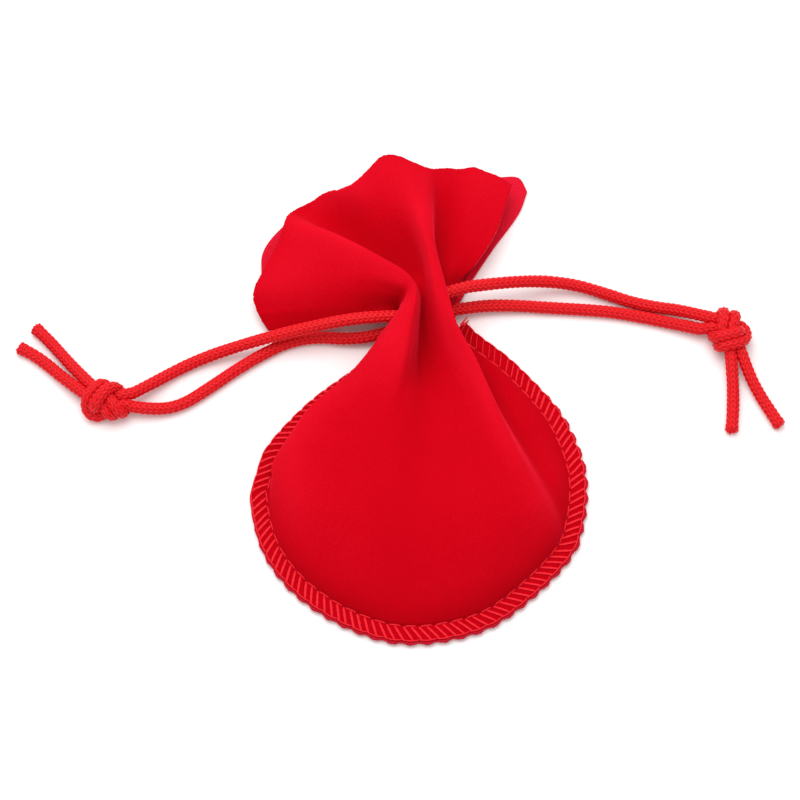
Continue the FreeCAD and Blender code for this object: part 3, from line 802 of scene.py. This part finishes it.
def needle_path(grid, first_row):
    """Needle line: down the left side, round the bottom, up the right side."""
    left = grid[first_row:-1, 0]
    bottom = grid[-1]
    right = grid[first_row:-1, -1][::-1]
    return evenly(smoothed(np.concatenate([left, bottom, right]), 8), 0.45)


class SeamLine:
    """The two cloths' seam allowance: it leaves the needle line outwards and, where the needle
    line is off the table, also downwards."""

    def __init__(self, path):
        self.path = path
        self.marks = np.r_[0, np.cumsum(np.linalg.norm(np.diff(path, axis=0), axis=1))]
        self.length = self.marks[-1]
        tangents = unit(np.gradient(path, axis=0))
        flat = unit(np.stack([tangents[:, 1], -tangents[:, 0], 0 * tangents[:, 0]], axis=1))
        drop = np.clip(path[:, 2] - SEAM_HEIGHT, 0, 0.75 * SEAM_WIDTH)[:, None]
        level = np.sqrt(SEAM_WIDTH ** 2 - drop ** 2)
        self.out = (flat * level + np.array([0, 0, -1.0]) * drop) / SEAM_WIDTH
        normals = np.cross(tangents, self.out)
        self.up = unit(normals * np.sign(normals[:, 2:]))

    def fullness(self, along):
        """The edge is flat at both shoulders and full of loops round the bottom."""
        share = np.asarray(along) / self.length
        return np.clip(np.minimum((share - 0.2) / 0.16, (0.98 - share) / 0.14), 0.2, 1)

    def scallop(self, along):
        """Edge of the cloth drawn in where the loopers cross, rounded out between."""
        wave = np.abs(np.sin(math.pi * along / STITCH)) ** 0.8 - 0.5
        return SEAM_WIDTH + 0.3 * wave * self.fullness(along)

    def at(self, along, outside, lift):
        """outside is measured from the needle line, lift from the upper face of the seam."""
        along = np.clip(along, 0, self.length)
        found = [np.array([np.interp(along, self.marks, line[:, k]) for k in range(3)])
                 for line in (self.path, self.out, self.up)]
        return found[0] + found[1] * outside + found[2] * lift

    def allowance(self, lift, steps=9):
        """Rows of points from the needle line to the scalloped edge."""
        shares = np.linspace(0, 1, steps)[:, None, None]
        reach = self.scallop(self.marks)[None, :, None]
        ribs = 0.04 * np.cos(4 * math.pi * self.marks / STITCH - 2.2 * shares[..., 0])
        ribs = ribs * np.sin(math.pi * shares[..., 0])
        round_off = 0.22 * shares ** 6
        lifts = lift + ribs[..., None] - (round_off if lift > -CLOTH / 2 else -round_off)
        return self.path[None] + self.out[None] * shares * reach + self.up[None] * lifts


def above_surroundings(points, cell=0.6, reach=3.6):
    """How far each point stands above the cloth's mean height within about reach."""
    places = np.floor((points[:, :2] - points[:, :2].min(axis=0)) / cell).astype(int)
    shape = places.max(axis=0) + 1
    here = (places[:, 0], places[:, 1])
    count = np.zeros(shape)
    height = np.zeros(shape)
    np.add.at(count, here, 1)
    np.add.at(height, here, points[:, 2])
    height /= np.maximum(count, 1)
    weight = np.minimum(count, 1)
    steps = np.arange(-3 * reach, 3 * reach + cell, cell)
    kernel = np.exp(-0.5 * (steps / reach) ** 2)
    for axis in (0, 1):
        height = np.apply_along_axis(np.convolve, axis, height, kernel, "same")
        weight = np.apply_along_axis(np.convolve, axis, weight, kernel, "same")
    return points[:, 2] - height[here] / weight[here]


def painted_shading_values(points, normals):
    """Painted light and shade: brighter where the cloth faces away from the belly's side, stands
    on a ridge or is near the mouth's edge; darker where it lies in a hollow or faces the belly."""
    facing = normals @ PAINTED_LIGHT_TOWARDS
    ridges = np.clip(above_surroundings(points) / RIDGE_HEIGHT, DEEPEST_HOLLOW, 1)
    flap = np.clip((neck_distance(points) - FLAP_START) / FLAP_REACH, 0, 1)
    flap = np.where(points[:, 1] > NECK[1], flap, 0)
    painted_shading = PAINTED_SHADING_LEVEL + PAINTED_SHADING_FACING * facing + PAINTED_SHADING_RIDGES * ridges + PAINTED_HIGHLIGHT_FLAP * flap
    return np.clip(painted_shading, 0, 1)


def cloth_piece(name, grid, allowance, upper_material, lower_material, rim_material):
    """Closed cloth: its upper face is the grid with the seam allowance, its lower face lies a
    thickness below."""
    rows, columns = grid.shape[:2]
    strip_rows, strip_columns = allowance.shape[:2]
    vertices = np.concatenate([grid.reshape(-1, 3), allowance.reshape(-1, 3)])
    strip = grid_quads(strip_rows, strip_columns, rows * columns)
    quads = np.concatenate([grid_quads(rows, columns)[:, ::-1], strip])
    piece = new_mesh(name, vertices, quads, upper_material, materials=[lower_material, rim_material])
    work = bmesh.new()
    work.from_mesh(piece.data)
    bmesh.ops.recalc_face_normals(work, faces=work.faces)
    for island_faces in (work.faces[:(rows - 1) * (columns - 1)], work.faces[(rows - 1) * (columns - 1):]):
        if sum(face.normal.z * face.calc_area() for face in island_faces) < 0:
            bmesh.ops.reverse_faces(work, faces=island_faces)
    work.to_mesh(piece.data)
    work.free()
    normals = np.array([normal.vector for normal in piece.data.vertex_normals])
    # painted light and shade, stored on the vertices for the velvet's colour
    painted_shading = piece.data.attributes.new("painted_shading", "FLOAT", "POINT")
    painted_shading.data.foreach_set("value", painted_shading_values(vertices, normals))
    near_neck = piece.vertex_groups.new(name="thin")
    distance = neck_distance(vertices)
    for index, weight in enumerate(np.clip((distance - 4) / 12, 0.12, 1)):
        near_neck.add([index], float(weight), "REPLACE")
    shell = piece.modifiers.new("thickness", "SOLIDIFY")
    shell.thickness = CLOTH * MM
    shell.offset = -1
    shell.vertex_group = "thin"
    shell.material_offset = 1
    shell.material_offset_rim = 2
    apply_modifiers(piece)
    return piece


def apply_modifiers(piece):
    graph = bpy.context.evaluated_depsgraph_get()
    mesh = bpy.data.meshes.new_from_object(piece.evaluated_get(graph))
    piece.modifiers.clear()
    piece.vertex_groups.clear()
    old = piece.data
    piece.data = mesh
    bpy.data.meshes.remove(old)


seam_row = sum(STEPS_DOWN[:SEAM_STATION])
front_shape = roughen(front_grid(), SEED, seam_row)
seam = SeamLine(needle_path(front_shape, seam_row))
front = cloth_piece("front_velvet", front_shape, seam.allowance(0), VELVET, BACKING, BACKING)
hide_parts("front_cloth", "front_mouth_flap")
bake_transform(front)


# ---------------------------------------------------------------- back cloth

# Outline of the back cloth's flap, from the left side of the neck round to the right.
BACK_LEFT = [(-4.5, 40.5), (-6.5, 42), (-15, 45), (-26, 48), (-34.5, 51.5)]
BACK_EDGE = [(-34.5, 51.5), (-34.3, 57), (-30.5, 63), (-19.5, 72), (-7.5, 76.5), (6, 76.5),
             (17.5, 76.2), (22.7, 76), (24.5, 72.6)]
BACK_RIGHT = [(24.5, 72.6), (22.8, 67.6), (16.6, 58), (11.8, 50), (8.5, 43.5)]


def coons(left, right, top, bottom):
    """Flat patch between four sides; left and right run down, top and bottom to the right."""
    rows, columns = len(left), len(top)
    u = np.linspace(0, 1, columns)[None, :, None]
    v = np.linspace(0, 1, rows)[:, None, None]
    ruled = left[:, None] * (1 - u) + right[:, None] * u
    lofted = top[None] * (1 - v) + bottom[None] * v
    corners = ((top[0] * (1 - u) + top[-1] * u) * (1 - v)
               + (bottom[0] * (1 - u) + bottom[-1] * u) * v)
    return ruled + lofted - corners


def resampled(points, count):
    points = np.asarray(points, float)
    if points.shape[1] == 2:
        points = np.c_[points, np.full(len(points), CLOTH + 0.1)]
    fine = curve_through(points, 12)
    marks = np.r_[0, np.cumsum(np.linalg.norm(np.diff(fine, axis=0), axis=1))]
    wanted = np.linspace(0, marks[-1], count)
    return np.stack([np.interp(wanted, marks, fine[:, k]) for k in range(3)], axis=1)


def make_back():
    """The back cloth's pink inner face looks up; its velvet lies on the table."""
    across, flap_rows, body_rows = 140, 50, 110
    neck = resampled([(-4.5, 40.5), (2, 41), (8.5, 43.5)], across)
    flap = coons(resampled(BACK_LEFT, flap_rows)[::-1], resampled(BACK_RIGHT, flap_rows),
                 resampled(BACK_EDGE, across), neck)
    low_path = seam.path + seam.up * -(CLOTH + 0.03)
    split_left = int(len(low_path) * 0.27)
    split_right = int(len(low_path) * 0.73)
    left = np.concatenate([neck[:1], low_path[:split_left]])
    bottom = low_path[split_left - 1:split_right]
    right = np.concatenate([neck[-1:], low_path[split_right - 1:][::-1]])
    body = coons(even_count(left, body_rows), even_count(right, body_rows), neck,
                 even_count(bottom, across))
    grid = np.concatenate([flap[:-1], body])
    x, y = grid[..., 0], grid[..., 1]
    from_neck = neck_distance(grid)
    column = np.linspace(0, 100, across)[None, :] + 0 * x
    gathers = np.abs(wave_noise(column, 0 * x, 11.0, SEED + 4)) * 1.1
    lift = gathers * np.exp(-(from_neck / 16) ** 2) * np.clip(from_neck / 4, 0.4, 1)
    soft = 0.12 * np.abs(wave_noise(x, y, 20.0, SEED + 5))
    rows = np.arange(len(grid))[:, None]
    body_fade = np.clip(edge_distance(grid.shape[:2], flap_rows - 1) / 12, 0, 1)
    sag = np.where(rows < flap_rows, 0, grid[..., 2] - CLOTH - 0.1) * (1 - body_fade)
    grid[..., 2] = CLOTH + 0.06 + (lift + soft) * body_fade + np.maximum(sag, 0)
    return cloth_piece("back_velvet", grid, seam.allowance(-CLOTH - 0.03), BACKING, VELVET, BACKING)


def even_count(points, count):
    marks = np.r_[0, np.cumsum(np.linalg.norm(np.diff(points, axis=0), axis=1))]
    wanted = np.linspace(0, marks[-1], count)
    return np.stack([np.interp(wanted, marks, points[:, k]) for k in range(3)], axis=1)


back = make_back()
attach(back, "pouch")
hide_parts("back_cloth")


# ---------------------------------------------------------------- overlock seam

def stitch_line(places, steps=4):
    """A thread through places given as (along, outside, lift)."""
    return curve_through([seam.at(*place) for place in places], steps)


def add_thread_piece(name, parts, cad, material):
    piece = thread_piece(name, parts, material)
    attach(piece, "pouch")
    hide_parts(cad)


def make_seam():
    """Three-thread overlock: needle dashes, slanted upper-looper bars in pairs that meet a line
    near the edge, and lower-looper lumps round the edge."""
    rng = random.Random(SEED)
    under = -2 * CLOTH - 0.1
    needle, upper, lower = [], [], []
    for index in range(int(seam.length / STITCH)):
        start = index * STITCH
        loose = rng.uniform(-0.12, 0.12)
        thin = float(np.interp(start / seam.length, (0.86, 0.94), (1.0, 0.3)))
        needle.append(yarn(stitch_line([
            (start + 0.2, 0.0, -0.25), (start + 0.8, 0.03, 0.02), (start + 2.5, -0.03, 0.02),
            (start + 3.1, 0.0, -0.25)]), NEEDLE_THREAD))
        for shift in (0.0, STITCH / 2):
            foot = start + shift + loose
            head = foot + BAR_LEAN + rng.uniform(-0.15, 0.15)
            middle = (foot + head) / 2
            upper.append(yarn(stitch_line([
                (foot, 0.05, -0.06), ((foot + middle) / 2, 0.85, 0.07), (middle, 1.65, 0.10),
                ((head + middle) / 2, 2.5, 0.07), (head, 3.3, -0.08)]),
                LOOPER_THREAD * thin, flat=0.45, seed=index))
            lower.append(yarn(stitch_line([
                (foot, 0.3, under + 0.1), (middle, 1.7, under - 0.05), (head, 3.2, under)]),
                LOOPER_THREAD, flat=0.5, seed=index))
        upper.append(yarn(stitch_line([
            (start, 3.0, 0.0), (start + 0.5, 3.2, 0.08), (start + 1.65, 3.3, 0.04),
            (start + 2.9, 3.2, 0.08), (start + 3.4, 3.0, 0.0)]),
            LOOPER_THREAD * 0.5, flat=0.7, seed=index))
        full = float(seam.fullness(start + STITCH / 2))
        lump = []
        for share in np.linspace(0.02, 0.98, 7):
            along = start + share * STITCH
            swell = math.sin(math.pi * share)
            lump.append((along, seam.scallop(along) - 0.35 + 0.4 * swell * full,
                         -0.45 - 0.35 * swell))
        lower.append(yarn(stitch_line(lump, 3), LOOPER_THREAD * (0.8 + 0.9 * full), seed=index))
    add_thread_piece("needle_stitches", needle, "needle_thread", SEWING)
    add_thread_piece("upper_looper_stitches", upper, "upper_looper_thread", SEWING)
    add_thread_piece("lower_looper_stitches", lower, "lower_looper_thread", SHADED_LOWER_LOOPER)
    end = seam.at(seam.length, 1.8, -0.4)
    tails = []
    for turn, reach in enumerate((2.0, 2.6, 1.6)):
        side = 0.35 * (turn - 1)
        tails.append(yarn(curve_through([
            end + np.array([side, -0.6, 0]), end + np.array([0.3 - side, reach * 0.3, 0.25]),
            end + np.array([side + 0.9, reach * 0.6, 0.1]),
            end + np.array([1.4 + side, reach * 0.9, 0.3])], 8), NEEDLE_THREAD * 1.2))
    add_thread_piece("seam_thread_tails", tails, "seam_thread_ends", SEWING)


make_seam()


# ---------------------------------------------------------------- stage

def add_stage():
    size_m = 3.0
    half = size_m / 2
    mesh = bpy.data.meshes.new("floor")
    mesh.from_pydata([(-half, -half, 0), (half, -half, 0), (half, half, 0), (-half, half, 0)],
                     [], [(0, 1, 2, 3)])
    floor = bpy.data.objects.new("floor", mesh)
    bpy.context.scene.collection.objects.link(floor)
    material, tree, shader = new_material("white_paper")
    grain = node(tree, "ShaderNodeTexNoise", Scale=0.4, Detail=3.0)
    tree.links.new(place(tree), grain.inputs["Vector"])
    tree.links.new(colour_ramp(tree, grain.outputs["Fac"], [
        (0.3, (0.94, 0.94, 0.94)), (0.7, (0.96, 0.96, 0.96))]), shader.inputs["Base Color"])
    shader.inputs["Roughness"].default_value = 0.9
    mesh.materials.append(material)


def add_light(name, place_m, size_m, power, aim_m=(0, 0.02, 0)):
    data = bpy.data.lights.new(name, "AREA")
    data.shape = "DISK"
    data.size = size_m
    data.energy = power
    light = bpy.data.objects.new(name, data)
    light.location = place_m
    light.rotation_euler = (Vector(place_m) - Vector(aim_m)).to_track_quat("Z", "Y").to_euler()
    bpy.context.scene.collection.objects.link(light)


def light_scene():
    world = bpy.data.worlds.new("studio")
    world.use_nodes = True
    background = world.node_tree.nodes["Background"]
    background.inputs["Color"].default_value = (1, 1, 1, 1)
    background.inputs["Strength"].default_value = 0.84
    bpy.context.scene.world = world
    bpy.context.scene.view_settings.view_transform = "Standard"
    add_light("key_softbox", (-0.10, 0.24, 0.76), 0.8, 4.2)


add_stage()
light_scene()
